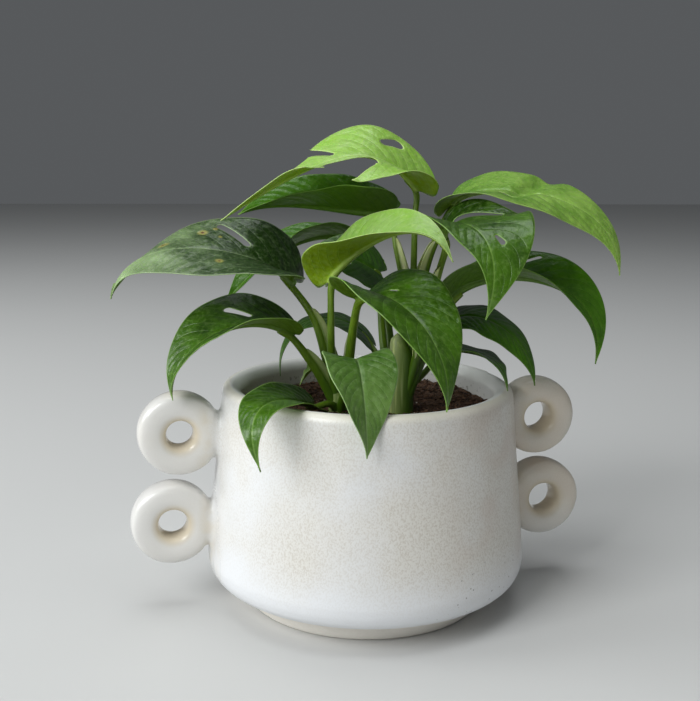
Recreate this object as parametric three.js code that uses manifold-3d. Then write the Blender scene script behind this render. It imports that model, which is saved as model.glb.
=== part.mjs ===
// A young split-leaved climbing aroid in a glazed stoneware planter with four ring handles.
// Millimetres, +Z up. The origin is the centre of the planter's foot on the surface it stands on.
// The ring handles lie along X, and the viewer stands on the -Y side.
import * as THREE from 'three';
import { mergeVertices } from 'three/addons/utils/BufferGeometryUtils.js';
import Module from 'manifold-3d';

const wasm = await Module();
wasm.setup();

// Driving dimensions of the planter
const POT_HEIGHT = 100;
const RIM_RADIUS = 66.2;
const RIM_ROUNDING = 4.5;
const WIDEST_RADIUS = 73.3;
const WIDEST_HEIGHT = 21.5;
const GLAZE_LINE_RADIUS = 60;
const GLAZE_LINE_HEIGHT = 9.3;
const FOOT_RADIUS = 54.5;
const SHOULDER_START = [69.5, 10.5];
const SHOULDER_TOP = 14.5;
const WALL = 9;
const FLOOR = 9;
const INNER_CORNER = 12;
const POT_SEGMENTS = 48;

// Driving dimensions of the ring handles
const RING_RADIUS = 18.6;
const RING_THICKNESS = 15;
const RINGS = [
  { x: -85.3, height: 80.4, hole: 5.8 },
  { x: -89.1, height: 39.7, hole: 6.2 },
  { x: 83.0, height: 80.4, hole: 6.4 },
  { x: 87.5, height: 39.7, hole: 6.6 },
];
const RING_FULLNESS = 0.55;
const RING_SEGMENTS = 24;
const RING_SECTION_POINTS = 10;
const FILLET = { reach: 5, breadth: 6.5, height: 10 };

// Driving dimensions of the soil
const SOIL_LEVEL = 87;
const SOIL_HEAP = 3.5;
const SOIL_HEAP_WAY = [0.75, 0.66];
const SOIL_RIPPLE = { height: 0.5, x: 5.1, y: 4.3 };
const SOIL_TOP_INSET = 0.4;
const SOIL_RINGS = 6;
const SOIL_SEGMENTS = 36;
const GAP = 0.3;

// Driving dimensions of the plant
const BLADE_THICKNESS = 0.8;
const BLADE_ROWS = 12;
const BLADE_COLUMNS = 6;
const TIP_HALF_WIDTH = 0.6;
const WIDEST_SHARE = 0.32;
const NECK_SHARE = [0.45, 0.45];
const LOBE_SHARE = 0.32;
const LOBE_TURN = 2.3;
const FLICK_SHARES = [0.5, 0.8];
const SPLIT_DEPTH = 8;
const SPLIT_SIDES = 8;
const STALK_TAPER = { base: 1.35, loss: 0.6 };
const STALK_SEAT = { depth: 0.7, near: 0.05, end: 0.08 };
const PETIOLE_SIDES = 8;
const PETIOLE_STEPS = 7;
const CLUMP = { bottom: 66, stalks: 86, radius: 6.5, oval: 0.8 };
const CLUMPS = {
  left: { place: [-14, -4], top: 98, topRadius: 4 },
  right: { place: [13, -10], top: 116, topRadius: 5.2 },
};

const COLOURS = { glaze: '#d9d8d2', soil: '#3a2a20', stem: '#6f8f2c', leaf: '#356b22', young: '#6f9f3c' };

// Every leaf of the plant. A rib is four points that the midrib passes through, from the base to
// the tip. Across points from the midrib towards the leaf's right half, at the base and at the tip.
// The other pairs are given as [left, right]: half is the half width; baseFold, tipFold, curl and
// flick raise a half out of the plane, in degrees; lobe is how far its base reaches back, and neck
// the share of its width that it has there. A split is a slot between two places on the blade, each
// written as [share of the rib's length, share of the half's width], where the left half's shares
// are negative; radii are those of its two round ends.
// The path holds the points that the leaf's stalk passes between the clump and the blade.
const LEAVES = [
  {
    name: 'a', clump: 'left', tone: 'leaf',
    rib: [[-34, 3, 145], [-59, -2, 159], [-93, 1, 160], [-113, 1, 140]],
    across: [[-0.2, 0.8, 0.5], [0.5, 0.8, 0.1]],
    half: [24, 26], baseFold: [38, 27], tipFold: [-46, -21], curl: [-2, 0], lobe: [-7, 10],
    neck: [0.13, 0.6],
    splits: [{ from: [0.3, 0.3], to: [0.41, 0.72], radii: [1.6, 1.7] }],
    path: [[-20, -2, 113], [-26, -2, 131]], stalk: 1.9,
  },
  {
    name: 'b', clump: 'left', tone: 'leaf',
    rib: [[-36, -5, 124], [-60, -8, 129], [-82, -11, 118], [-89, -13, 98]],
    across: [[-0.2, 1, 0], [0.1, 1, 0.1]],
    half: [20, 23], baseFold: [16, 17], tipFold: [-8, 9], curl: [6, 10], lobe: [2, 6],
    neck: [0.3, 0.45],
    splits: [{ from: [0.25, 0.3], to: [0.34, 0.58], radii: [1.2, 1.6] }],
    path: [[-19, -4, 97], [-28, -5, 112]], stalk: 2,
  },
  {
    name: 'c', clump: 'right', tone: 'young',
    rib: [[22, 0, 186], [1, 0, 201], [-27, -2, 196], [-66, 2, 173]],
    across: [[0.3, 0.7, 0.6], [0.2, 0.9, 0.3]],
    half: [21, 26], baseFold: [78, 10], tipFold: [-17, -9], curl: [0, -1], lobe: [6, 6],
    flick: [52, 0], ease: 3, widest: 0.42,
    splits: [
      { from: [0.25, 0.56], to: [0.2, 0.7], radii: [2.2, 2.8] },
      { from: [0.55, 0.25], to: [0.63, 1.05], radii: [1.6, 3.2] },
      { from: [0.86, 0.35], to: [0.9, 1.5], radii: [0.7, 1.8] },
      { from: [0.35, -0.25], to: [0.6, -0.4], radii: [3.2, 3.6] },
      { from: [0.37, -0.31], to: [0.64, -0.95], radii: [3, 7] },
      { from: [0.67, 1], to: [0.85, 1.1], radii: [5, 2.5] },
    ],
    path: [[17, -10, 111], [19, -6, 150], [20, -3, 174]], stalk: 1.5,
  },
  {
    name: 'd', clump: 'right', tone: 'leaf',
    rib: [[12, 10, 175], [-11, 11, 177], [-35, 12, 179], [-57, 12, 175]],
    across: [[0.2, 1, -0.1], [-0.1, 0.9, 0.5]],
    half: [18, 19], baseFold: [45, 62], tipFold: [40, 38], curl: [2, -4], lobe: [3, 6],
    path: [[15, -7, 115], [16, -1, 142], [14, 5, 160]], stalk: 1.5,
  },
  {
    name: 'f', clump: 'left', tone: 'young',
    rib: [[-20, -10, 147], [-12, -21, 160], [4, -41, 171], [19, -58, 160]],
    across: [[-0.8, -0.5, -0.2], [-0.4, -0.9, 0]],
    half: [18, 18], baseFold: [55, 82], tipFold: [36, 4], curl: [2, -1], lobe: [5, 5],
    ease: 2.5,
    path: [[-18, -6, 109], [-20, -12, 131]], stalk: 1.7,
  },
  {
    name: 'g', clump: 'left', tone: 'leaf',
    rib: [[-11, -24, 141], [-2, -47, 144], [8, -70, 130], [10, -81, 105]],
    across: [[-1, -0.2, 0], [-0.7, -0.7, 0]],
    half: [23, 23], baseFold: [30, 28], tipFold: [-9, -14], curl: [3, 1], lobe: [6, 1],
    neck: [0.45, 0.35],
    splits: [{ from: [0.24, -0.19], to: [0.28, -0.26], radii: [0.4, 0.5] }],
    path: [[-11, -7, 107], [-11, -16, 127]], stalk: 2,
  },
  {
    name: 'h', clump: 'right', tone: 'leaf',
    rib: [[30, -15, 163], [28, -36, 174], [34, -56, 167], [32, -62, 137]],
    across: [[-0.8, 0.5, 0], [-1, 0.1, 0]],
    half: [30, 13], baseFold: [106, 41], tipFold: [-6, 1], curl: [3, 1], lobe: [2, 1],
    neck: [0.3, 0.45], ease: 5, widest: 0.38,
    splits: [
      { from: [0.1, -0.45], to: [0.3, -0.8], radii: [2.2, 1] },
      { from: [0.635, -0.22], to: [0.68, -0.3], radii: [0.8, 1.3] },
    ],
    path: [[18, -14, 110], [23, -17, 135], [28, -16, 153]], stalk: 1.8,
  },
  {
    name: 'i', clump: 'right', tone: 'young',
    rib: [[40, 5, 180], [60, -4, 187], [94, -15, 179], [112, -22, 149]],
    across: [[-0.5, -0.8, -0.3], [-0.8, -0.5, -0.3]],
    half: [23, 21], baseFold: [6, 27], tipFold: [-4, -18], curl: [-3, -3], lobe: [6, 6],
    splits: [{ from: [0.32, 0.36], to: [0.39, 0.46], radii: [1, 0.8] }],
    path: [[16, -9, 110], [21, -6, 134], [28, -2, 158]], stalk: 2,
  },
  {
    name: 'j', clump: 'right', tone: 'leaf',
    rib: [[36, -7, 138], [61, -11, 148], [91, -19, 140], [101, -25, 109]],
    across: [[-0.2, -1, 0.1], [-0.7, -0.2, -0.5]],
    half: [24, 16], baseFold: [12, 42], tipFold: [4, 10], curl: [3, 5], lobe: [6, 6],
    splits: [{ from: [0.4, -0.5], to: [0.49, -0.8], radii: [0.8, 1] }],
    path: [[19, -12, 105], [27, -10, 122]], stalk: 2.2,
  },
  {
    name: 'k', clump: 'right', tone: 'leaf',
    rib: [[36, -5, 127], [50, -11, 130], [65, -18, 120], [72, -24, 100]],
    across: [[-0.3, -0.9, -0.2], [-0.8, -0.6, -0.2]],
    half: [16, 16], baseFold: [4, 6], tipFold: [-4, -8], curl: [-4, -5], lobe: [6, 6],
    path: [[18, -8, 99], [27, -5, 113]], stalk: 1.7,
  },
  {
    name: 'l', clump: 'right', tone: 'leaf',
    rib: [[38, -1, 115], [47, -9, 114], [52, -25, 112], [54, -36, 101]],
    across: [[-0.6, -0.8, -0.1], [-0.8, -0.5, 0.3]],
    half: [11, 11], baseFold: [6, 10], tipFold: [-7, 1], curl: [-5, 1], lobe: [6, 6],
    path: [[17, -6, 95], [27, -3, 104]], stalk: 1.4,
  },
  {
    name: 'm', clump: 'left', tone: 'leaf',
    rib: [[-17, -43, 119], [-18, -57, 117], [-18, -66, 102], [-19, -73, 86]],
    across: [[-1, 0.2, -0.2], [-0.8, -0.4, 0.4]],
    half: [15, 16], baseFold: [8, 15], tipFold: [1, 11], curl: [3, 7], lobe: [3, 2],
    neck: [0.5, 0.5],
    path: [[-14, -13, 97], [-14, -27, 110]], stalk: 1.6,
  },
  {
    name: 'n', clump: 'left', tone: 'leaf',
    rib: [[-28, -14, 93], [-44, -36, 102], [-60, -60, 103], [-60, -69, 82]],
    across: [[-0.4, 0.8, 0.4], [-0.9, 0.2, -0.2]],
    half: [12, 12], baseFold: [15, 20], tipFold: [0, -10], curl: [0, 0], lobe: [5, 5],
    path: [[-19, -8, 92]], stalk: 1.5,
  },
  {
    name: 'o', clump: 'right', tone: 'leaf',
    rib: [[9, 14, 148], [-2, 13, 154], [-14, 15, 157], [-27, 18, 153]],
    across: [[0.2, 0.7, 0.7], [0, 0.9, 0.5]],
    half: [16, 17], baseFold: [4, -4], tipFold: [14, 12], curl: [1, -1], lobe: [5, 5],
    splits: [{ from: [0.44, -0.3], to: [0.57, -0.6], radii: [1.3, 1.9] }],
    path: [[10, -7, 98], [8, 1, 114], [8, 8, 132]], stalk: 1.7,
  },
  {
    name: 'p', clump: 'right', tone: 'leaf',
    rib: [[0, 37, 162], [-22, 41, 161], [-43, 40, 149], [-60, 38, 132]],
    across: [[0.3, 1, -0.1], [-0.5, 0.8, 0.3]],
    half: [15, 16], baseFold: [19, 12], tipFold: [13, 19], curl: [11, 8], lobe: [6, 6],
    path: [[12, -1, 100], [13, 14, 125], [8, 30, 146]], stalk: 1.7,
  },
  {
    name: 's', clump: 'right', tone: 'leaf',
    rib: [[7, 25, 115], [-9, 27, 125], [-28, 28, 121], [-36, 26, 98]],
    across: [[0.3, 0.9, 0.1], [-0.1, 1, 0]],
    half: [14, 14], baseFold: [-2, 9], tipFold: [2, -3], curl: [-4, -7], lobe: [6, 6],
    path: [[12, 2, 95], [11, 15, 105]], stalk: 1.6,
  },
  {
    name: 'u', clump: 'left', tone: 'young',
    rib: [[-20, 20, 105], [-22, 20, 103], [-25, 19, 100], [-28, 19, 95]],
    across: [[0.1, 1, 0], [0.1, 1, 0]],
    half: [4, 4], baseFold: [20, 20], tipFold: [10, 10], curl: [0, 0], lobe: [1, 1],
    path: [[-17, 6, 97]], stalk: 1.2,
  },
];

function toSolid(geometry) {
  geometry.deleteAttribute('normal');
  geometry.deleteAttribute('uv');
  const merged = mergeVertices(geometry, 1e-4);
  const mesh = new wasm.Mesh({
    numProp: 3,
    vertProperties: new Float32Array(merged.attributes.position.array),
    triVerts: new Uint32Array(merged.index.array),
  });
  return new wasm.Manifold(mesh);
}

function toGeometry(solid) {
  const mesh = solid.getMesh();
  const geometry = new THREE.BufferGeometry();
  geometry.setAttribute('position', new THREE.Float32BufferAttribute(mesh.vertProperties, 3));
  geometry.setIndex([...mesh.triVerts]);
  return geometry;
}

function largestPart(solid) {
  return solid.decompose().reduce((best, part) => (part.volume() > best.volume() ? part : best));
}

function node(name, solid, colour, roughness, origin = [0, 0, 0]) {
  const [x, y, z] = origin;
  const geometry = toGeometry(solid);
  geometry.translate(-x, -y, -z);
  geometry.computeVertexNormals();
  const material = new THREE.MeshStandardMaterial({ color: colour, roughness, metalness: 0 });
  const mesh = new THREE.Mesh(geometry, material);
  mesh.name = name;
  mesh.position.set(x, y, z);
  return mesh;
}

// A lathe turns its profile about Y, so this stands the turned shape upright along Z
function turned(points, segments) {
  const geometry = new THREE.LatheGeometry(points, segments);
  geometry.rotateX(Math.PI / 2);
  return geometry;
}

// The planter: a cone that widens downwards, a round shoulder, a bare foot and a rounded rim
function outerRadius(height) {
  const coneHeight = POT_HEIGHT - RIM_ROUNDING - WIDEST_HEIGHT;
  const share = (height - WIDEST_HEIGHT) / coneHeight;
  return WIDEST_RADIUS + (RIM_RADIUS - WIDEST_RADIUS) * share;
}

function potProfile() {
  const rimCentre = POT_HEIGHT - RIM_ROUNDING;
  const innerBottom = outerRadius(WIDEST_HEIGHT) - WALL;
  const outline = new THREE.Path();
  outline.moveTo(0, 0);
  outline.lineTo(FOOT_RADIUS, 0);
  outline.lineTo(GLAZE_LINE_RADIUS, GLAZE_LINE_HEIGHT);
  outline.bezierCurveTo(...SHOULDER_START, WIDEST_RADIUS, SHOULDER_TOP, WIDEST_RADIUS, WIDEST_HEIGHT);
  outline.lineTo(RIM_RADIUS, rimCentre);
  outline.absarc(RIM_RADIUS - RIM_ROUNDING, rimCentre, RIM_ROUNDING, 0, Math.PI, false);
  outline.lineTo(innerBottom, WIDEST_HEIGHT);
  outline.quadraticCurveTo(innerBottom, FLOOR, innerBottom - INNER_CORNER, FLOOR);
  outline.lineTo(0, FLOOR);
  return outline.getPoints(6);
}

// A ring handle is a thick disc with well rounded edges and a hole that opens like a funnel
function ringSection(hole) {
  const middle = (RING_RADIUS + hole) / 2;
  const reach = (RING_RADIUS - hole) / 2;
  const points = [];
  for (let i = 0; i <= RING_SECTION_POINTS; i += 1) {
    const angle = (2 * Math.PI * i) / RING_SECTION_POINTS;
    const [cos, sin] = [Math.cos(angle), Math.sin(angle)];
    const fullness = Math.max(Math.abs(cos), Math.abs(sin)) ** -RING_FULLNESS;
    points.push(new THREE.Vector2(middle + reach * cos * fullness, (RING_THICKNESS / 2) * sin * fullness));
  }
  points[RING_SECTION_POINTS].copy(points[0]);
  return points;
}

function ringHandle({ x, height, hole }) {
  const ring = new THREE.LatheGeometry(ringSection(hole), RING_SEGMENTS);
  ring.translate(x, 0, height);
  const fillet = new THREE.SphereGeometry(1, 10, 6);
  fillet.scale(FILLET.reach, FILLET.breadth, FILLET.height);
  fillet.translate(x - Math.sign(x) * (RING_RADIUS - 1), 0, height);
  const bore = new THREE.CylinderGeometry(hole, hole, 2 * RING_THICKNESS, RING_SEGMENTS);
  bore.translate(x, 0, height);
  return toSolid(ring).add(toSolid(fillet).subtract(toSolid(bore)));
}

function makePot() {
  let pot = toSolid(turned(potProfile(), POT_SEGMENTS));
  for (const ring of RINGS) {
    pot = pot.add(ringHandle(ring));
  }
  return pot;
}

// Soil, level near the stems and heaped against the wall behind them on the right
function soilHeight(x, y) {
  const ripple = SOIL_RIPPLE.height * Math.sin(x / SOIL_RIPPLE.x + 1) * Math.sin(y / SOIL_RIPPLE.y);
  const [wayX, wayY] = SOIL_HEAP_WAY;
  const towardsHeap = Math.max(0, (wayX * x + wayY * y) / outerRadius(SOIL_LEVEL));
  return SOIL_LEVEL + ripple + SOIL_HEAP * towardsHeap ** 2;
}

function makeSoil() {
  const innerBottom = outerRadius(WIDEST_HEIGHT) - WALL;
  const topRadius = outerRadius(SOIL_LEVEL) - WALL;
  const bottom = FLOOR + GAP;
  const profile = new THREE.Path();
  profile.moveTo(0, bottom);
  profile.lineTo(innerBottom - INNER_CORNER - GAP, bottom);
  profile.quadraticCurveTo(innerBottom - GAP, bottom, innerBottom - GAP, WIDEST_HEIGHT);
  const reach = topRadius - GAP - SOIL_TOP_INSET;
  profile.lineTo(reach, SOIL_LEVEL);
  const points = profile.getPoints(4);
  for (let i = 1; i <= SOIL_RINGS; i += 1) {
    points.push(new THREE.Vector2(reach * (1 - i / SOIL_RINGS), SOIL_LEVEL));
  }
  const geometry = turned(points, SOIL_SEGMENTS);
  const position = geometry.attributes.position;
  for (let i = 0; i < position.count; i += 1) {
    if (position.getZ(i) > SOIL_LEVEL - 0.01) {
      position.setZ(i, soilHeight(position.getX(i), position.getY(i)));
    }
  }
  let soil = toSolid(geometry);
  for (const clump of Object.values(CLUMPS)) {
    soil = soil.subtract(toSolid(clumpShape(clump, CLUMP.radius, GAP)));
  }
  return soil;
}

// Cuts a solid, and the gap round it, out of another
function cutClear(solid, cutter) {
  let rest = solid;
  for (const axis of [0, 1, 2]) {
    for (const side of [-GAP, GAP]) {
      const step = [0, 0, 0];
      step[axis] = side;
      rest = rest.subtract(cutter.translate(step));
    }
  }
  return rest;
}

// A clump is the short thick stem that the leaf stalks wrap around; the soil's hole is a little wider
function clumpShape({ place: [x, y], top }, topRadius, clearance = 0) {
  const height = top - CLUMP.bottom + clearance;
  const shape = new THREE.CylinderGeometry(topRadius + clearance, CLUMP.radius + clearance, height, 16, 2);
  shape.rotateX(Math.PI / 2);
  shape.scale(1, CLUMP.oval, 1);
  shape.translate(x, y, (top + CLUMP.bottom - clearance) / 2);
  return shape;
}

// The cubic curve through a rib's four points
function ribCurve(rib) {
  const [a, b, c, d] = rib.map((point) => new THREE.Vector3(...point));
  const mix = (wa, wb, wc, wd) => new THREE.Vector3()
    .addScaledVector(a, wa / 6)
    .addScaledVector(b, wb / 6)
    .addScaledVector(c, wc / 6)
    .addScaledVector(d, wd / 6);
  return new THREE.CubicBezierCurve3(a, mix(-5, 18, -9, 2), mix(2, -9, 18, -5), d);
}

// Half width at a share of the length: a round base that swells quickly, then a long taper
function breadth(along, widest, neck) {
  if (along < widest) {
    return neck + (1 - neck) * Math.sqrt(1 - (1 - along / widest) ** 2);
  }
  const rest = (along - widest) / (1 - widest);
  return Math.max(0, 1 - rest ** 1.8) ** 1.3;
}

// A place on the blade's middle surface; along runs from base to tip, across from -1 (left) to 1
function bladePoint(leaf, curve, along, across) {
  const tangent = curve.getTangent(along);
  const right = new THREE.Vector3(...leaf.across[0]).normalize();
  right.lerp(new THREE.Vector3(...leaf.across[1]).normalize(), along);
  right.addScaledVector(tangent, -right.dot(tangent)).normalize();
  const face = right.clone().cross(tangent);
  const half = across < 0 ? 0 : 1;
  const reach = Math.abs(across);
  const share = breadth(along, leaf.widest ?? WIDEST_SHARE, (leaf.neck ?? NECK_SHARE)[half]);
  const width = Math.max(TIP_HALF_WIDTH, leaf.half[half] * share);
  const early = (1 - along) ** (leaf.ease ?? 1);
  const late = THREE.MathUtils.smoothstep(along, ...FLICK_SHARES) * (leaf.flick ?? [0, 0])[half];
  const fold = leaf.baseFold[half] * early + leaf.tipFold[half] * (1 - early) + leaf.curl[half] * reach;
  const angle = THREE.MathUtils.degToRad(fold + late);
  const nearBase = Math.max(0, 1 - along / LOBE_SHARE) ** 2;
  const lobe = leaf.lobe[half] * Math.max(0, Math.sin(LOBE_TURN * reach)) ** 1.5 * nearBase;
  return curve.getPoint(along)
    .addScaledVector(right, width * across * Math.cos(angle))
    .addScaledVector(face, width * reach * Math.sin(angle))
    .addScaledVector(tangent, -lobe);
}

function bladeNormal(leaf, curve, along, across) {
  const step = 0.03;
  const [before, after] = [Math.max(0, along - step), Math.min(1, along + step)];
  const [left, right] = [Math.max(-1, across - 0.1), Math.min(1, across + 0.1)];
  const down = bladePoint(leaf, curve, after, across).sub(bladePoint(leaf, curve, before, across));
  const over = bladePoint(leaf, curve, along, right).sub(bladePoint(leaf, curve, along, left));
  return over.cross(down).normalize();
}

// The blade as a thin closed shell: two grids split into triangles alike, closed round the margin
function bladeShape(leaf) {
  const curve = ribCurve(leaf.rib);
  const rowLength = BLADE_COLUMNS + 1;
  const layerLength = rowLength * (BLADE_ROWS + 1);
  const positions = [];
  for (const layer of [-0.5, 0.5]) {
    for (let row = 0; row <= BLADE_ROWS; row += 1) {
      for (let column = 0; column <= BLADE_COLUMNS; column += 1) {
        const [along, across] = [row / BLADE_ROWS, (2 * column) / BLADE_COLUMNS - 1];
        const normal = bladeNormal(leaf, curve, along, across);
        const point = bladePoint(leaf, curve, along, across);
        point.addScaledVector(normal, layer * BLADE_THICKNESS);
        positions.push(point.x, point.y, point.z);
      }
    }
  }
  const index = [];
  for (let row = 0; row < BLADE_ROWS; row += 1) {
    for (let column = 0; column < BLADE_COLUMNS; column += 1) {
      const a = row * rowLength + column;
      const [b, c, d] = [a + 1, a + rowLength, a + rowLength + 1];
      index.push(a, c, d, a, d, b);
      index.push(a + layerLength, d + layerLength, c + layerLength);
      index.push(a + layerLength, b + layerLength, d + layerLength);
    }
  }
  const margin = [];
  for (let column = 0; column < BLADE_COLUMNS; column += 1) margin.push(column);
  for (let row = 0; row < BLADE_ROWS; row += 1) margin.push(row * rowLength + BLADE_COLUMNS);
  for (let column = BLADE_COLUMNS; column > 0; column -= 1) margin.push(BLADE_ROWS * rowLength + column);
  for (let row = BLADE_ROWS; row > 0; row -= 1) margin.push(row * rowLength);
  margin.forEach((here, i) => {
    const next = margin[(i + 1) % margin.length];
    index.push(here, next, next + layerLength, here, next + layerLength, here + layerLength);
  });
  const geometry = new THREE.BufferGeometry();
  geometry.setAttribute('position', new THREE.Float32BufferAttribute(positions, 3));
  geometry.setIndex(index);
  return geometry;
}

// A slot between two round ends that stand on the blade
function splitShape(leaf, split) {
  const curve = ribCurve(leaf.rib);
  const ends = [split.from, split.to].map(([along, across], i) => {
    const pin = new THREE.CylinderGeometry(split.radii[i], split.radii[i], SPLIT_DEPTH, SPLIT_SIDES);
    const normal = bladeNormal(leaf, curve, along, across);
    pin.applyQuaternion(new THREE.Quaternion().setFromUnitVectors(new THREE.Vector3(0, 1, 0), normal));
    pin.translate(...bladePoint(leaf, curve, along, across));
    return toSolid(pin);
  });
  return wasm.Manifold.hull(ends);
}

function makeBlade(leaf) {
  let blade = toSolid(bladeShape(leaf));
  for (const split of leaf.splits ?? []) {
    blade = blade.subtract(splitShape(leaf, split));
  }
  return largestPart(blade);
}

// A leaf stalk is a tapered cylinder bent along its path; it ends under the base of the midrib
function stalkShape(leaf) {
  const [x, y] = CLUMPS[leaf.clump].place;
  const curve = ribCurve(leaf.rib);
  const under = bladeNormal(leaf, curve, STALK_SEAT.near, 0).multiplyScalar(-STALK_SEAT.depth * leaf.stalk);
  const points = [[x, y, CLUMP.stalks], ...leaf.path].map((point) => new THREE.Vector3(...point));
  points.push(bladePoint(leaf, curve, 0, 0).add(under));
  points.push(bladePoint(leaf, curve, STALK_SEAT.end, 0).add(under));
  const path = new THREE.CatmullRomCurve3(points);
  const frames = path.computeFrenetFrames(PETIOLE_STEPS);
  const shape = new THREE.CylinderGeometry(1, 1, 1, PETIOLE_SIDES, PETIOLE_STEPS);
  const position = shape.attributes.position;
  for (let i = 0; i < position.count; i += 1) {
    const share = position.getY(i) + 0.5;
    const step = Math.round(share * PETIOLE_STEPS);
    const radius = leaf.stalk * (STALK_TAPER.base - STALK_TAPER.loss * share);
    const point = path.getPointAt(share)
      .addScaledVector(frames.normals[step], radius * position.getX(i))
      .addScaledVector(frames.binormals[step], -radius * position.getZ(i));
    position.setXYZ(i, point.x, point.y, point.z);
  }
  return shape;
}

function makeStems(side) {
  let stems = toSolid(clumpShape(CLUMPS[side], CLUMPS[side].topRadius));
  for (const leaf of LEAVES.filter(({ clump }) => clump === side)) {
    stems = stems.add(toSolid(stalkShape(leaf)));
  }
  for (const leaf of LEAVES) {
    stems = cutClear(stems, makeBlade(leaf));
  }
  return largestPart(stems);
}

const plant = new THREE.Group();
plant.add(node('pot', makePot(), COLOURS.glaze, 0.35));
plant.add(node('soil', makeSoil(), COLOURS.soil, 0.95));
plant.add(node('stems_left', makeStems('left'), COLOURS.stem, 0.5, [...CLUMPS.left.place, SOIL_LEVEL]));
plant.add(node('stems_right', makeStems('right'), COLOURS.stem, 0.5, [...CLUMPS.right.place, SOIL_LEVEL]));
for (const leaf of LEAVES) {
  plant.add(node(`leaf_${leaf.name}`, makeBlade(leaf), COLOURS[leaf.tone], 0.4, leaf.rib[0]));
}

export default plant;
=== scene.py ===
# %% [markdown]
# # A young split-leaved aroid in a stoneware planter
#
# The object is a round planter of glazed stoneware with two ring handles on either side. It is
# filled with potting mix, and two short shoots of a climbing aroid grow in it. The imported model
# gives every piece its place. This script builds the same pieces again with finer shapes and
# natural finishes, in the same frame and in metres.

import math
import random

import bpy
import numpy as np
from mathutils import Matrix, Vector, noise


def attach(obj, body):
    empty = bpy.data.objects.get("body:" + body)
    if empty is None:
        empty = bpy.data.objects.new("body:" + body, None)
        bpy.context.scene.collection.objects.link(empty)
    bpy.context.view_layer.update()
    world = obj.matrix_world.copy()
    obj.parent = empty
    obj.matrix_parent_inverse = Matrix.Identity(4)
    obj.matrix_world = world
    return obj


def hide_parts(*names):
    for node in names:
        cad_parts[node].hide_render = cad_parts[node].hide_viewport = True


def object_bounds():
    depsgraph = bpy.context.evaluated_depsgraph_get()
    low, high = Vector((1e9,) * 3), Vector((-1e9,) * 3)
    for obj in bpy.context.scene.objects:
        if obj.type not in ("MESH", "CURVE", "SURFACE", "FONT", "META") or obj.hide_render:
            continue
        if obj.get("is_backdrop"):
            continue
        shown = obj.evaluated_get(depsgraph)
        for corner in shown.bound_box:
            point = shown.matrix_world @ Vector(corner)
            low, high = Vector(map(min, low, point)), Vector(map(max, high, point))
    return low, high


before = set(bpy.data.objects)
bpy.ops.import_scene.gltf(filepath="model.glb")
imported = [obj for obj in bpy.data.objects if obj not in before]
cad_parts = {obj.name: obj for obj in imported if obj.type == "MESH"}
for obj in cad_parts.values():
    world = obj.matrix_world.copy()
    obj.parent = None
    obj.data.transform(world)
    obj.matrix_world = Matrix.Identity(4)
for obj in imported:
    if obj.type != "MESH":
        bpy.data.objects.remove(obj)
cad_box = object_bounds()
MM = 0.001
print("CAD nodes:", len(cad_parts))

# %% [markdown]
# ## Camera
#
# The camera comes first, because it decides what is seen. It stands a hand's breadth above the rim
# and in front of the planter, and looks slightly down, as a person does who kneels before a shelf.
# A lens of about 51 mm on a 36 mm sensor gives a natural view without stretched edges.

# %% Place the camera
CAMERA_PLACE = Vector((-0.1158, -0.4312, 0.1994))
CAMERA_AIM = Vector((-0.0078, 0.0020, 0.1140))
CAMERA_ROLL = math.radians(0.69)

bpy.ops.object.camera_add(location=CAMERA_PLACE)
camera = bpy.context.object
camera.data.lens = 51.43
camera.data.sensor_width = 36
camera.data.sensor_fit = "HORIZONTAL"
camera.data.clip_start = 0.02
look = (CAMERA_AIM - CAMERA_PLACE).to_track_quat("-Z", "Y").to_matrix().to_4x4()
camera.matrix_world = Matrix.Translation(CAMERA_PLACE) @ look @ Matrix.Rotation(CAMERA_ROLL, 4, "Z")
bpy.context.scene.camera = camera
sight = CAMERA_PLACE - CAMERA_AIM
print("camera looks down", round(math.degrees(math.asin(sight.z / sight.length)), 1), "degrees")

# %% [markdown]
# ## Small tools
#
# Blender's operators act on whatever is selected, so a helper first clears the selection and then
# selects one piece. Another adds a modifier and applies it, so that its result is a plain mesh.

# %% Tools for modelling
def deselect():
    bpy.ops.object.select_all(action="DESELECT")


def select_only(piece):
    deselect()
    piece.select_set(True)
    bpy.context.view_layer.objects.active = piece


def edit(piece):
    select_only(piece)
    bpy.ops.object.mode_set(mode="EDIT")
    bpy.ops.mesh.select_mode(type="VERT")


def leave_edit():
    bpy.ops.object.mode_set(mode="OBJECT")


def modify(piece, kind, **settings):
    select_only(piece)
    modifier = piece.modifiers.new(kind.title(), kind)
    for name, value in settings.items():
        setattr(modifier, name, value)
    bpy.ops.object.modifier_apply(modifier=modifier.name)


def join(pieces, name):
    deselect()
    for piece in pieces:
        piece.select_set(True)
    bpy.context.view_layer.objects.active = pieces[0]
    bpy.ops.object.join()
    joined = bpy.context.object
    joined.name = joined.data.name = name
    return joined


def places(piece):
    flat = np.empty(len(piece.data.vertices) * 3)
    piece.data.vertices.foreach_get("co", flat)
    return flat.reshape(-1, 3)


def move_to(piece, points):
    piece.data.vertices.foreach_set("co", np.asarray(points).ravel())
    piece.data.update()


def paint(piece, name, values):
    layer = piece.data.attributes.new(name, "FLOAT", "POINT")
    layer.data.foreach_set("value", np.asarray(values, dtype=float))


def smooth_step(values, low, high):
    share = np.clip((values - low) / (high - low), 0, 1)
    return share * share * (3 - 2 * share)

# %% [markdown]
# ## Shader maths in plain Python
#
# A finish is a small network of nodes. Writing it as Python expressions keeps it readable: a Value
# wraps one socket, and adding or multiplying two Values adds the Math node that does the same.
# Any other node comes from one method. A Mix node has a set of sockets for each kind of data, all
# under the same names, so the ones for colours are named here by their numbers.

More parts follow.
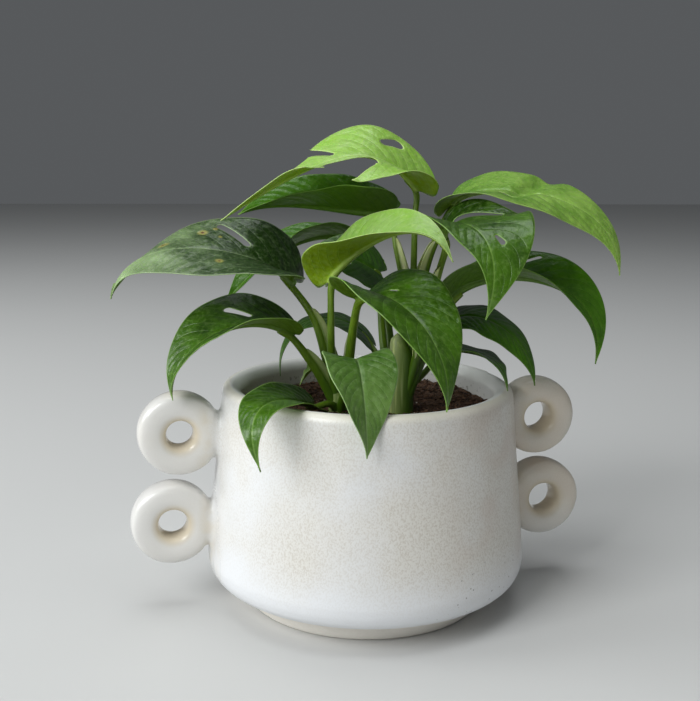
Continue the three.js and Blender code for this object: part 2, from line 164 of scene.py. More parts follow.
# %% A value in a finish
class Value:
    def __init__(self, finish, socket):
        self.finish = finish
        self.socket = socket

    def __add__(self, other):
        return self.finish.math("ADD", self, other)

    __radd__ = __add__

    def __mul__(self, other):
        return self.finish.math("MULTIPLY", self, other)

    __rmul__ = __mul__

    def __sub__(self, other):
        return self.finish.math("SUBTRACT", self, other)

    def __rsub__(self, other):
        return self.finish.math("SUBTRACT", other, self)

    def __pow__(self, other):
        return self.finish.math("POWER", self, other)

    def __abs__(self):
        return self.finish.math("ABSOLUTE", self)

    def between(self, low, high):
        settings = {"interpolation_type": "SMOOTHSTEP"}
        sockets = {"Value": self, "From Min": low, "From Max": high}
        return self.finish.node("ShaderNodeMapRange", settings, sockets)

# %% A finish and its nodes
MIX_FACTOR, MIX_FIRST, MIX_SECOND, MIX_RESULT = 0, 6, 7, 2


class Finish:
    def __init__(self, name, **sockets):
        self.material = bpy.data.materials.new(name)
        self.material.use_nodes = True
        self.nodes = self.material.node_tree.nodes
        self.links = self.material.node_tree.links
        self.shader = self.nodes["Principled BSDF"]
        for socket, value in sockets.items():
            self.shader.inputs[socket.replace("_", " ")].default_value = value

    def feed(self, socket, value):
        if isinstance(value, Value):
            self.links.new(value.socket, socket)
        elif isinstance(value, tuple) and len(value) == 3 and socket.type == "RGBA":
            socket.default_value = (*value, 1)
        else:
            socket.default_value = value

    def node(self, kind, settings, sockets, output=0):
        made = self.nodes.new(kind)
        for name, value in settings.items():
            setattr(made, name, value)
        for name, value in sockets.items():
            self.feed(made.inputs[name], value)
        return Value(self, made.outputs[output])

    def math(self, operation, *values):
        return self.node("ShaderNodeMath", {"operation": operation}, dict(enumerate(values)))

    def mix(self, factor, first, second):
        sockets = {MIX_FACTOR: factor, MIX_FIRST: first, MIX_SECOND: second}
        return self.node("ShaderNodeMix", {"data_type": "RGBA"}, sockets, MIX_RESULT)

    def attribute(self, name):
        return self.node("ShaderNodeAttribute", {"attribute_name": name}, {}, "Fac")

    def place(self):
        return self.node("ShaderNodeTexCoord", {}, {}, "Object")

    def axis(self, name):
        return self.node("ShaderNodeSeparateXYZ", {}, {0: self.place()}, name)

    def stretched(self, scale):
        return self.node("ShaderNodeMapping", {}, {"Vector": self.place(), "Scale": scale})

    def noise(self, size, detail=2.0, roughness=0.5, vector=None):
        sockets = {"Vector": vector or self.place(), "Scale": 1 / size, "Detail": detail,
                   "Roughness": roughness}
        return self.node("ShaderNodeTexNoise", {}, sockets)

    def cells(self, size, feature="F1"):
        sockets = {"Vector": self.place(), "Scale": 1 / size}
        return self.node("ShaderNodeTexVoronoi", {"feature": feature}, sockets, "Distance")

    def bump(self, height, depth):
        sockets = {"Height": height, "Strength": 1.0, "Distance": depth}
        self.feed(self.shader.inputs["Normal"], self.node("ShaderNodeBump", {}, sockets))

    def colour(self, value):
        self.feed(self.shader.inputs["Base Color"], value)

    def roughness(self, value):
        self.feed(self.shader.inputs["Roughness"], value)

# %% Colour and dress
def srgb(*levels):
    return tuple(((c / 255 + 0.055) / 1.055) ** 2.4 if c > 10 else c / 255 / 12.92 for c in levels)


def dress(piece, finish, replaced=None):
    piece.data.materials.clear()
    piece.data.materials.append(finish.material)
    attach(piece, "root")
    if replaced:
        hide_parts(replaced)

# %% [markdown]
# ## The planter's finish
#
# The glaze is a warm white with a satin gloss, painted cooler on the left as a painted sky reflection
# and warmer on the right, partly as painted shade. Where it lies thin, a fine grey and beige stipple
# of the clay shows through, most over the middle and the right side, and least low on the left. The
# rim is tinted ivory and painted brighter as a painted highlight, the rings are tinted beige and
# painted darker round their holes as painted shade, and pinholes dot the lower right. The foot below
# the glaze line is bare clay, the inner wall is painted lighter as painted light, and soil has
# splashed on it. Everything reads Object coordinates, so the pattern stays where it is from every
# side.

# %% Glaze
GLAZE_LINE = 9.3 * MM
RINGS = [(-85.3, 80.4, 5.8), (-89.1, 39.7, 6.2), (83.0, 80.4, 6.4), (87.5, 39.7, 6.6)]
RING_ROOT, RING_CLEAR = 68 * MM, 76 * MM
RIM_LOW, RIM_TOP = 96 * MM, 100 * MM
INNER_WALL, OUTER_WALL = 61.5 * MM, 63 * MM

glaze = Finish("glaze", Roughness=0.33, IOR=1.5)
x, y, z = glaze.axis("X"), glaze.axis("Y"), glaze.axis("Z")
handle = abs(x).between(RING_ROOT, RING_CLEAR)
fine = glaze.noise(1.0, 2.0, 0.6, glaze.stretched((1500, 1500, 1100)))
clouds = glaze.noise(34 * MM, 2.0)
thin_glaze_and_painted_side_light = (x * 6 + clouds * 1.4 - 0.15).between(-0.25, 0.85) * z.between(14 * MM, 42 * MM)
off_rings = 1 - abs(x).between(RING_ROOT, 74 * MM) * 0.7
stipple = fine.between(0.42, 0.66) * (thin_glaze_and_painted_side_light * 0.46 + 0.05) * off_rings
print("glaze nodes so far:", len(glaze.nodes))

# %% Glaze colour on the body
# Painted light: the white is cooler and bluer on the left, a painted sky reflection, and warmer on the right,
# partly the thin glaze and partly painted shade.
white_with_painted_side_light = glaze.mix(thin_glaze_and_painted_side_light, srgb(235, 237, 240), srgb(228, 225, 217))
speckled = glaze.mix(stipple, white_with_painted_side_light, srgb(188, 178, 162))
low_right = x.between(5 * MM, 45 * MM) * z.between(20 * MM, 36 * MM)
patch = glaze.noise(24 * MM, 1.0).between(0.42, 0.62) * low_right * 0.4
warmed = glaze.mix(patch, speckled, srgb(208, 190, 176))
low_down = 1 - z.between(24 * MM, 50 * MM)
pitted_part = x.between(0, 30 * MM) * (1 - x.between(66 * MM, 70 * MM)) * low_down
pinhole = (1 - glaze.cells(3.2 * MM).between(0.08, 0.16)) * pitted_part
pitted = glaze.mix(pinhole * 0.7, warmed, srgb(128, 122, 112))
# The rim is tinted ivory and painted brighter than the body, partly its own tint and partly a painted
# highlight.
ivory_with_painted_rim_highlight = glaze.mix(z.between(RIM_LOW, RIM_TOP) * 0.8, pitted, srgb(248, 243, 228))
print("glaze nodes so far:", len(glaze.nodes))

# %% Glaze colour on the rings
joint_blush = glaze.noise(8 * MM, 2.0).between(0.4, 0.65) * (1 - abs(x).between(72 * MM, 80 * MM))
ring_tint_and_painted_hole_shade = handle * 0.3 + handle * joint_blush * 0.4
# Round each hole the ring is painted darker beige, a painted shade in the hollow mouth of the bore; the rest
# of the ring tint and the blush at the joint are the glaze's own.
for ring_x, ring_z, hole in RINGS:
    side, up = x - ring_x * MM, z - ring_z * MM
    from_centre = glaze.math("SQRT", side * side + up * up)
    ring_tint_and_painted_hole_shade = ring_tint_and_painted_hole_shade + (1 - from_centre.between(hole * MM, (hole + 4.5) * MM)) * 0.75
handled = glaze.mix(glaze.math("MINIMUM", ring_tint_and_painted_hole_shade, 0.9), ivory_with_painted_rim_highlight, srgb(218, 206, 182))
print("glaze nodes so far:", len(glaze.nodes))

# %% Bare foot, painted light on the inner wall and its splashes
wavy_line = z + (glaze.noise(9 * MM) - 0.5) * (0.5 * MM)
bare = 1 - wavy_line.between(GLAZE_LINE - 0.1 * MM, GLAZE_LINE + 0.15 * MM)
clay = glaze.mix(glaze.noise(1.6 * MM, 3.0), srgb(250, 246, 238), srgb(242, 237, 227))
footed = glaze.mix(bare, handled, clay)
edge_line = 1 - abs(wavy_line - GLAZE_LINE).between(0.1 * MM, 0.45 * MM)
lined = glaze.mix(edge_line * 0.7, footed, srgb(150, 124, 92))
radius = glaze.math("SQRT", x * x + y * y)
inside = (1 - radius.between(INNER_WALL, OUTER_WALL)) * z.between(20 * MM, 30 * MM)
# Painted light: the inner wall is painted a brighter white than the glaze, standing in for light falling on
# it.
inner_wall_with_painted_light = glaze.mix(inside, lined, srgb(250, 250, 247))
near_soil = (1 - z.between(87 * MM, 97 * MM)) * inside
splash = glaze.noise(2.2 * MM, 4.0, 0.6).between(0.58, 0.64) * near_soil
glaze.colour(glaze.mix(splash * 0.6, inner_wall_with_painted_light, srgb(96, 78, 60)))
glaze.roughness(stipple * 0.12 + bare * 0.45 + 0.3 - handle * 0.17)
glaze.bump(fine * 0.25 + glaze.noise(7 * MM, 1.0) * 1.2, 0.10 * MM)
print("glaze nodes:", len(glaze.nodes))

# %% [markdown]
# ## The planter
#
# A potter turns the body on a wheel, so its shape is one profile taken round the axis. Here a flat
# circle is extruded and scaled again and again, up the outside, over the rim and down the inside.
# The rings are tori squeezed to the section of the real ones. A voxel remesh then fuses body and
# rings into one skin, and smoothing where they meet gives the soft fillets of clay pressed on clay.

# %% Turn the body
PROFILE = [
    (54.5, 0), (55.3, 0.6), (60, 9.3), (65, 10.2), (68.8, 11.9), (71.3, 14.5), (72.8, 17.7),
    (73.3, 21.5), (72.3, 32), (71, 46), (69.6, 60), (68.2, 74), (66.9, 88), (66.2, 95.5),
    (65.9, 97.3), (65, 98.9), (63.5, 99.8), (61.7, 100), (60, 99.6), (58.6, 98.6), (57.7, 97),
    (57.2, 95.2), (59.4, 70), (61.8, 46), (63.6, 28), (63.4, 20), (61.4, 14), (57, 10.4), (50, 9),
]


def turn_profile(stages, sides):
    first_radius, first_height = stages[0]
    deselect()
    bpy.ops.mesh.primitive_circle_add(
        vertices=sides, radius=first_radius * MM, fill_type="NGON", location=(0, 0, first_height * MM))
    turned = bpy.context.object
    bpy.ops.object.transform_apply(location=True)
    bpy.ops.object.mode_set(mode="EDIT")
    for (radius_before, height_before), (radius_now, height_now) in zip(stages, stages[1:]):
        lift = (0, 0, (height_now - height_before) * MM)
        scale = radius_now / radius_before
        bpy.ops.mesh.extrude_region_move(TRANSFORM_OT_translate={"value": lift})
        bpy.ops.transform.resize(value=(scale, scale, 1), center_override=(0, 0, 0))
    bpy.ops.mesh.select_all(action="SELECT")
    bpy.ops.mesh.normals_make_consistent(inside=False)
    leave_edit()
    return turned


body = turn_profile(PROFILE, sides=144)
print("body rings:", len(PROFILE), "height", round(max(places(body)[:, 2]) / MM, 1), "mm")

# %% Shape the ring handles
RING_RADIUS, RING_THICKNESS = 18.6, 15
SECTION_SQUARENESS = 0.55


def ring_handle(centre_x, centre_z, hole_radius):
    middle, reach = (RING_RADIUS + hole_radius) / 2 * MM, (RING_RADIUS - hole_radius) / 2 * MM
    centre = np.array((centre_x * MM, 0, centre_z * MM))
    deselect()
    bpy.ops.mesh.primitive_torus_add(
        location=centre, rotation=(math.pi / 2, 0, 0), major_radius=middle, minor_radius=reach,
        major_segments=64, minor_segments=28)
    ring = bpy.context.object
    bpy.ops.object.transform_apply(location=True, rotation=True, scale=True)
    points = places(ring) - centre
    spoke = np.hypot(points[:, 0], points[:, 2])
    out, side = (spoke - middle) / reach, points[:, 1] / reach
    fullness = np.maximum(np.abs(out), np.abs(side)) ** -SECTION_SQUARENESS
    new_spoke = middle + reach * out * fullness
    points[:, 0] *= new_spoke / spoke
    points[:, 2] *= new_spoke / spoke
    points[:, 1] = RING_THICKNESS / 2 * MM * side * fullness
    move_to(ring, points + centre)
    return ring


rings = [ring_handle(*ring) for ring in RINGS]
planter = join([body, *rings], "planter")
print("joined faces:", len(planter.data.polygons))

# %% Fuse and smooth the clay
CLAY_VOXEL = 0.9 * MM
KEPT_SHARE = 0.48
WALL_RADIUS, WALL_START, WALL_TAPER = 73 * MM, 23 * MM, 6.8 / 72.5
JOINT_WIDTH, JOINT_REACH, JOINT_LOWEST = 12 * MM, 4 * MM, 16 * MM

modify(planter, "REMESH", mode="VOXEL", voxel_size=CLAY_VOXEL, use_smooth_shade=True)
modify(planter, "SMOOTH", factor=0.5, iterations=6)
points = places(planter)
wall = WALL_RADIUS - (points[:, 2] - WALL_START) * WALL_TAPER
from_wall = np.hypot(points[:, 0], points[:, 1]) - wall
joint = (np.abs(points[:, 1]) < JOINT_WIDTH) & (np.abs(from_wall) < JOINT_REACH)
joint &= points[:, 2] > JOINT_LOWEST
group = planter.vertex_groups.new(name="joint")
group.add([int(i) for i in np.nonzero(joint)[0]], 1.0, "REPLACE")
modify(planter, "SMOOTH", factor=0.5, iterations=60, vertex_group="joint")
modify(planter, "DECIMATE", ratio=KEPT_SHARE)
dress(planter, glaze, "pot")
triangles = sum(len(polygon.vertices) - 2 for polygon in planter.data.polygons)
print("planter triangles:", triangles)

# %% [markdown]
# ## Potting mix
#
# The planter is filled to about 13 mm below the rim with a brown mix of peat and bark, heaped a
# little against the wall on the right. Its body is a displaced round block. What makes it look like
# soil are the loose crumbs on top, so one crumb is modelled and then copied hundreds of times, each
# copy turned and squashed in its own way. A few fibres and white grains lie among them.

# %% Potting mix finish
soil = Finish("potting_mix", Roughness=0.92)
grain = soil.noise(1.3 * MM, 4.0, 0.65)
lumps = soil.noise(6 * MM, 3.0)
dark = soil.mix(grain.between(0.35, 0.65), srgb(34, 22, 14), srgb(100, 70, 48))
soil.colour(soil.mix(lumps.between(0.5, 0.75) * 0.5, dark, srgb(122, 88, 62)))
soil.bump(grain + lumps * 2, 0.8 * MM)

perlite = Finish("perlite", Roughness=0.8)
perlite.colour(perlite.mix(perlite.noise(0.6 * MM, 3.0), srgb(226, 220, 208), srgb(186, 174, 158)))
perlite.bump(perlite.noise(0.5 * MM, 3.0), 0.2 * MM)
print("nodes of mix and perlite:", len(soil.nodes), len(perlite.nodes))

# %% Heap the mix
SOIL_LEVEL, SOIL_HEAP = 87, 3.5
SOIL_RADIUS = 57.4
RIPPLE_HEIGHT, RIPPLE_WIDTH, RIPPLE_DEPTH = 0.5, 5.1, 4.3
HEAP_RIGHT, HEAP_BACK, HEAP_REACH = 0.75, 0.66, 67
LUMP_FINENESS, LUMP_HEIGHT = 260, 0.8 * MM


def soil_height(x_mm, y_mm):
    ripple = RIPPLE_HEIGHT * np.sin(x_mm / RIPPLE_WIDTH + 1) * np.sin(y_mm / RIPPLE_DEPTH)
    toward_heap = np.maximum(0, (HEAP_RIGHT * x_mm + HEAP_BACK * y_mm) / HEAP_REACH)
    return SOIL_LEVEL + ripple + SOIL_HEAP * toward_heap ** 2


SOIL_SIDE = [(50, 9.4), (60.5, 14), (62.9, 24), (61.4, 46), (59.2, 70), (SOIL_RADIUS, SOIL_LEVEL)]
TOP_RINGS = 34
soil_top = [(SOIL_RADIUS * (1 - step / TOP_RINGS), SOIL_LEVEL) for step in range(1, TOP_RINGS)]
mix_body = turn_profile(SOIL_SIDE + soil_top, sides=120)
points = places(mix_body)
top = points[:, 2] > (SOIL_LEVEL - 0.1) * MM
points[top, 2] = soil_height(points[top, 0] / MM, points[top, 1] / MM) * MM
for i in np.nonzero(top)[0]:
    points[i, 2] += noise.fractal(Vector(points[i]) * LUMP_FINENESS, 0.7, 2.2, 4) * LUMP_HEIGHT
move_to(mix_body, points)
mix_body.name = mix_body.data.name = "potting_mix"
dress(mix_body, soil, "soil")
print("potting mix faces:", len(mix_body.data.polygons))

# %% Scatter crumbs, fibres and grains
WALL_MARGIN = 1.5
MOST_TILT = 0.6
dice = random.Random(7)


def shape_from_ops(add, **settings):
    deselect()
    add(**settings)
    made = bpy.context.object
    bpy.ops.object.transform_apply(location=True, rotation=True, scale=True)
    corners = places(made)
    faces = [tuple(polygon.vertices) for polygon in made.data.polygons]
    bpy.data.objects.remove(made)
    return corners, faces


def scatter(name, shape, count, sizes, finish, flat=(0.5, 1.0), ragged=0.3):
    corners, faces = shape
    all_corners, all_faces = [], []
    for _ in range(count):
        reach, around = (SOIL_RADIUS - WALL_MARGIN) * math.sqrt(dice.random()), dice.uniform(0, math.tau)
        x_mm, y_mm = reach * math.cos(around), reach * math.sin(around)
        size = dice.uniform(*sizes)
        bent = corners * np.array([dice.uniform(1 - ragged, 1 + ragged) for _ in corners])[:, None]
        bent = bent * (dice.uniform(1.0, 1.6), 1, dice.uniform(*flat)) * size * MM
        turn = Matrix.Rotation(dice.uniform(0, math.tau), 3, "Z")
        turn = turn @ Matrix.Rotation(dice.uniform(-MOST_TILT, MOST_TILT), 3, "X")
        z_mm = float(soil_height(x_mm, y_mm)) + size * dice.uniform(0.1, 0.5)
        bent = bent @ np.array(turn).T + np.array((x_mm, y_mm, z_mm)) * MM
        shift = len(all_corners) * len(corners)
        all_corners.append(bent)
        all_faces += [tuple(i + shift for i in face) for face in faces]
    mesh = bpy.data.meshes.new(name)
    mesh.from_pydata(np.concatenate(all_corners).tolist(), [], all_faces)
    piece = bpy.data.objects.new(name, mesh)
    bpy.context.scene.collection.objects.link(piece)
    dress(piece, finish)
    print(name, "faces:", len(mesh.polygons))


crumb = shape_from_ops(bpy.ops.mesh.primitive_ico_sphere_add, subdivisions=2, radius=1)
sliver = shape_from_ops(
    bpy.ops.mesh.primitive_cone_add, vertices=4, radius1=0.16, radius2=0.05, depth=2.4,
    rotation=(0, math.pi / 2, 0))
scatter("crumbs", crumb, count=1500, sizes=(0.35, 1.25), finish=soil)
scatter("fibres", sliver, count=650, sizes=(1.0, 2.8), finish=soil, flat=(0.8, 1.0), ragged=0.2)
scatter("perlite_grains", crumb, count=26, sizes=(0.35, 0.8), finish=perlite, ragged=0.35)

# %% [markdown]
# ## Leaves
#
# A leaf blade is cut flat and bent afterwards, as a leaf itself unfolds. The flat sheet is a grid,
# where x runs across the blade and y along it. Slots and holes are cut while it is flat, and the
# cut edges are pulled onto smooth outlines. Then every point is carried to its place on the curved
# midrib, with each half folded up or down, and Solidify gives the sheet its thickness.
# The values are in millimetres and degrees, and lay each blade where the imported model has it.
# A pair of numbers gives the blade's two halves, one for each side of the midrib. A value that a
# leaf doesn't give is the usual one.

# %% Values of every leaf
LEAVES = {
    "a": dict(
        rib=[(-34, 3, 145), (-59, -2, 159), (-93, 1, 160), (-113, 1, 140)],
        across=[(-0.2, 0.8, 0.5), (0.5, 0.8, 0.1)], half=(24, 26), base_fold=(38, 27), tip_fold=(-46, -21),
        curl=(-2, 0), lobe=(-7, 10), neck=(0.13, 0.6), tone="dusty",
        slots=[((0.3, 0.3), (0.41, 0.72), 1.6, 1.7)],
        shoot="left", path=[(-20, -2, 113), (-26, -2, 131)], stalk=1.9, sheath=(0, 0.72, 4.5)),
    "b": dict(
        rib=[(-36, -5, 124), (-60, -8, 129), (-82, -11, 118), (-89, -13, 98)],
        across=[(-0.2, 1, 0), (0.1, 1, 0.1)], half=(20, 23), base_fold=(16, 17), tip_fold=(-8, 9),
        curl=(6, 10), lobe=(2, 6), neck=(0.3, 0.45), tone="full",
        slots=[((0.25, 0.3), (0.34, 0.58), 1.2, 1.6)],
        shoot="left", path=[(-19, -4, 97), (-28, -5, 112)], stalk=2, sheath=(0, 0.7, 4.0)),
    "c": dict(
        rib=[(22, 0, 186), (1, 0, 201), (-27, -2, 196), (-66, 2, 173)],
        across=[(0.3, 0.7, 0.6), (0.2, 0.9, 0.3)], half=(21, 26), base_fold=(78, 10), tip_fold=(-17, -9),
        curl=(0, -1), ease=3, widest=0.42, flick=(52, 0), tone="vivid",
        slots=[((0.25, 0.56), (0.2, 0.7), 2.2, 2.8), ((0.55, 0.25), (0.63, 1.05), 1.6, 3.2),
               ((0.86, 0.35), (0.9, 1.5), 0.7, 1.8), ((0.35, -0.25), (0.6, -0.4), 3.2, 3.6),
               ((0.37, -0.31), (0.64, -0.95), 3.0, 7.0), ((0.67, 1.0), (0.85, 1.1), 5.0, 2.5)],
        shoot="right", path=[(17, -10, 111), (19, -6, 150), (20, -3, 174)], stalk=1.5),
    "d": dict(
        rib=[(12, 10, 175), (-11, 11, 177), (-35, 12, 179), (-57, 12, 175)],
        across=[(0.2, 1, -0.1), (-0.1, 0.9, 0.5)], half=(18, 19), base_fold=(45, 62), tip_fold=(40, 38),
        curl=(2, -4), lobe=(3, 6),
        shoot="right", path=[(15, -7, 115), (16, -1, 142), (14, 5, 160)], stalk=1.5,
        sheath=(0.4, 0.84, 4.5), wing=(1, -0.5, 0), wing_tone=0.9),
    "f": dict(
        rib=[(-20, -10, 147), (-12, -21, 160), (4, -41, 171), (19, -58, 160)],
        across=[(-0.8, -0.5, -0.2), (-0.4, -0.9, 0)], half=(18, 18), base_fold=(55, 82), tip_fold=(36, 4),
        curl=(2, -1), lobe=(5, 5), ease=2.5, tone="young",
        shoot="left", path=[(-18, -6, 109), (-20, -12, 131)], stalk=1.7, sheath=(0, 0.5, 2.5)),
    "g": dict(
        rib=[(-11, -24, 141), (-2, -47, 144), (8, -70, 130), (10, -81, 105)],
        across=[(-1, -0.2, 0), (-0.7, -0.7, 0)], half=(23, 23), base_fold=(30, 28), tip_fold=(-9, -14),
        curl=(3, 1), lobe=(6, 1), neck=(0.45, 0.35), tone="full",
        slots=[((0.24, -0.19), (0.28, -0.26), 0.4, 0.5)],
        shoot="left", path=[(-11, -7, 107), (-11, -16, 127)], stalk=2, sheath=(0, 0.72, 3.5)),
    "h": dict(
        rib=[(30, -15, 163), (28, -36, 174), (34, -56, 167), (32, -62, 137)],
        across=[(-0.8, 0.5, 0), (-1, 0.1, 0)], half=(30, 13), base_fold=(106, 41), tip_fold=(-6, 1),
        curl=(3, 1), lobe=(2, 1), widest=0.38, neck=(0.3, 0.45), ease=5, tone="full",
        slots=[((0.1, -0.45), (0.3, -0.8), 2.2, 1.0), ((0.635, -0.22), (0.68, -0.3), 0.8, 1.3)],
        shoot="right", path=[(18, -14, 110), (23, -17, 135), (28, -16, 153)], stalk=1.8,
        sheath=(0.45, 0.82, 4.5), wing=(-1, -0.6, 0), wing_tone=1.0),
    "i": dict(
        rib=[(40, 5, 180), (60, -4, 187), (94, -15, 179), (112, -22, 149)],
        across=[(-0.5, -0.8, -0.3), (-0.8, -0.5, -0.3)], half=(23, 21), base_fold=(6, 27), tip_fold=(-4, -18),
        curl=(-3, -3), tone="fresh", crease=(0.43, -0.11, 3.0, 0.04),
        slots=[((0.32, 0.36), (0.39, 0.46), 1.0, 0.8)],
        shoot="right", path=[(16, -9, 110), (21, -6, 134), (28, -2, 158)], stalk=2,
        sheath=(0.4, 0.78, 5.5), wing=(-1, -0.6, 0), wing_tone=0.9),
    "j": dict(
        rib=[(36, -7, 138), (61, -11, 148), (91, -19, 140), (101, -25, 109)],
        across=[(-0.2, -1, 0.1), (-0.7, -0.2, -0.5)], half=(24, 16), base_fold=(12, 42), tip_fold=(4, 10),
        curl=(3, 5), slots=[((0.4, -0.5), (0.49, -0.8), 0.8, 1.0)],
        shoot="right", path=[(19, -12, 105), (27, -10, 122)], stalk=2.2, sheath=(0, 0.5, 1.5)),
    "k": dict(
        rib=[(36, -5, 127), (50, -11, 130), (65, -18, 120), (72, -24, 100)],
        across=[(-0.3, -0.9, -0.2), (-0.8, -0.6, -0.2)], half=(16, 16), base_fold=(4, 6), tip_fold=(-4, -8),
        curl=(-4, -5), shoot="right", path=[(18, -8, 99), (27, -5, 113)], stalk=1.7),
    "l": dict(
        rib=[(38, -1, 115), (47, -9, 114), (52, -25, 112), (54, -36, 101)],
        across=[(-0.6, -0.8, -0.1), (-0.8, -0.5, 0.3)], half=(11, 11), base_fold=(6, 10), tip_fold=(-7, 1),
        curl=(-5, 1), shoot="right", path=[(17, -6, 95), (27, -3, 104)], stalk=1.4),
    "m": dict(
        rib=[(-17, -43, 119), (-18, -57, 117), (-18, -66, 102), (-19, -73, 86)],
        across=[(-1, 0.2, -0.2), (-0.8, -0.4, 0.4)], half=(15, 16), base_fold=(8, 15), tip_fold=(1, 11),
        curl=(3, 7), lobe=(3, 2), neck=(0.5, 0.5), tone="misty",
        shoot="left", path=[(-14, -13, 97), (-14, -27, 110)], stalk=1.6, sheath=(0, 0.5, 2.0)),
    "n": dict(
        rib=[(-28, -14, 93), (-44, -36, 102), (-60, -60, 103), (-60, -69, 82)],
        across=[(-0.4, 0.8, 0.4), (-0.9, 0.2, -0.2)], half=(12, 12), base_fold=(15, 20), tip_fold=(0, -10),
        curl=(0, 0), lobe=(5, 5), tone="full",
        shoot="left", path=[(-19, -8, 92)], stalk=1.5, sheath=(0, 0.3, 1.5)),
    "o": dict(
        rib=[(9, 14, 148), (-2, 13, 154), (-14, 15, 157), (-27, 18, 153)],
        across=[(0.2, 0.7, 0.7), (0, 0.9, 0.5)], half=(16, 17), base_fold=(4, -4), tip_fold=(14, 12),
        curl=(1, -1), lobe=(5, 5), slots=[((0.44, -0.3), (0.57, -0.6), 1.3, 1.9)],
        shoot="right", path=[(10, -7, 98), (8, 1, 114), (8, 8, 132)], stalk=1.7),
    "p": dict(
        rib=[(0, 37, 162), (-22, 41, 161), (-43, 40, 149), (-60, 38, 132)],
        across=[(0.3, 1, -0.1), (-0.5, 0.8, 0.3)], half=(15, 16), base_fold=(19, 12), tip_fold=(13, 19),
        curl=(11, 8), shoot="right", path=[(12, -1, 100), (13, 14, 125), (8, 30, 146)], stalk=1.7),
    "s": dict(
        rib=[(7, 25, 115), (-9, 27, 125), (-28, 28, 121), (-36, 26, 98)],
        across=[(0.3, 0.9, 0.1), (-0.1, 1, 0)], half=(14, 14), base_fold=(-2, 9), tip_fold=(2, -3),
        curl=(-4, -7), shoot="right", path=[(12, 2, 95), (11, 15, 105)], stalk=1.6),
    "u": dict(
        rib=[(-20, 20, 105), (-22, 20, 103), (-25, 19, 100), (-28, 19, 95)],
        across=[(0.1, 1, 0), (0.1, 1, 0)], half=(4, 4), base_fold=(20, 20), tip_fold=(10, 10),
        curl=(0, 0), lobe=(1, 1), tone="young", shoot="left", path=[(-17, 6, 97)], stalk=1.2),
}
SPOTS = {"a": [(0.48, 0.56, 1.1), (0.64, 0.43, 1.3), (0.41, -0.47, 0.9), (0.43, 0.65, 0.6),
               (0.41, 0.39, 0.5)]}
print("leaves:", len(LEAVES))

# %% The bent blade
TIP_HALF_WIDTH = 0.25
LOBE_TURN, LOBE_END = 2.3, 0.32
USUAL_WIDEST, USUAL_NECK, USUAL_LOBE = 0.32, (0.45, 0.45), (6, 6)
SHOULDER_FULLNESS, TIP_FULLNESS = 1.8, 1.3
FLICK_START, FLICK_END = 0.5, 0.8
STEP_ALONG, STEP_ACROSS = 0.02, 0.05


def unit(vectors):
    return vectors / np.linalg.norm(vectors, axis=-1, keepdims=True)


def by_half(across, values):
    return np.where(across < 0, *values)


def rib_points(leaf, along):
    a, b, c, d = (np.array(point, float) for point in leaf["rib"])
    handle_1, handle_2 = (-5 * a + 18 * b - 9 * c + 2 * d) / 6, (2 * a - 9 * b + 18 * c - 5 * d) / 6
    t = along[:, None]
    point = ((1 - t) ** 3 * a + 3 * (1 - t) ** 2 * t * handle_1
             + 3 * (1 - t) * t ** 2 * handle_2 + t ** 3 * d)
    slope = ((1 - t) ** 2 * (handle_1 - a) + 2 * (1 - t) * t * (handle_2 - handle_1)
             + t ** 2 * (d - handle_2))
    return point, unit(slope)


def half_width(leaf, along, across):
    widest, neck = leaf.get("widest", USUAL_WIDEST), by_half(across, leaf.get("neck", USUAL_NECK))
    rising = neck + (1 - neck) * np.sqrt(np.clip(1 - (1 - along / widest) ** 2, 0, 1))
    beyond = np.clip((along - widest) / (1 - widest), 0, 1)
    falling = np.clip(1 - beyond ** SHOULDER_FULLNESS, 0, 1) ** TIP_FULLNESS
    share = np.where(along < widest, rising, falling)
    return np.maximum(TIP_HALF_WIDTH, by_half(across, leaf["half"]) * share)


def bend(leaf, along, across):
    point, tangent = rib_points(leaf, along)
    start, end = (unit(np.array(way, float)) for way in leaf["across"])
    right = start * (1 - along[:, None]) + end * along[:, None]
    right = unit(right - tangent * np.sum(right * tangent, axis=1)[:, None])
    face = np.cross(right, tangent)
    reach = np.abs(across)
    width = half_width(leaf, along, across)
    early = (1 - along) ** leaf.get("ease", 1)
    folds = by_half(across, leaf["base_fold"]) * early + by_half(across, leaf["tip_fold"]) * (1 - early)
    late = smooth_step(along, FLICK_START, FLICK_END) * by_half(across, leaf.get("flick", (0, 0)))
    fold = np.radians(folds + by_half(across, leaf["curl"]) * reach + late)
    lobe = by_half(across, leaf.get("lobe", USUAL_LOBE)) * np.sin(LOBE_TURN * reach) ** 1.5
    lobe = lobe * np.maximum(0, 1 - along / LOBE_END) ** 2
    return (point + right * (width * across * np.cos(fold))[:, None]
            + face * (width * reach * np.sin(fold))[:, None] - tangent * lobe[:, None])


def blade_normals(leaf, along, across):
    before, after = np.maximum(0, along - STEP_ALONG), np.minimum(1, along + STEP_ALONG)
    left, right = np.maximum(-1, across - STEP_ACROSS), np.minimum(1, across + STEP_ACROSS)
    down = bend(leaf, after, across) - bend(leaf, before, across)
    over = bend(leaf, along, right) - bend(leaf, along, left)
    return unit(np.cross(over, down))


tip = bend(LEAVES["a"], np.array([1.0]), np.array([0.0]))[0]
print("tip of leaf a in mm:", tip.round(1).tolist())

# %% Distance to a slot
def place_on_sheet(leaf, along, across, length):
    width = half_width(leaf, np.array([along]), np.array([across]))[0]
    return np.array([width * across, along * length])


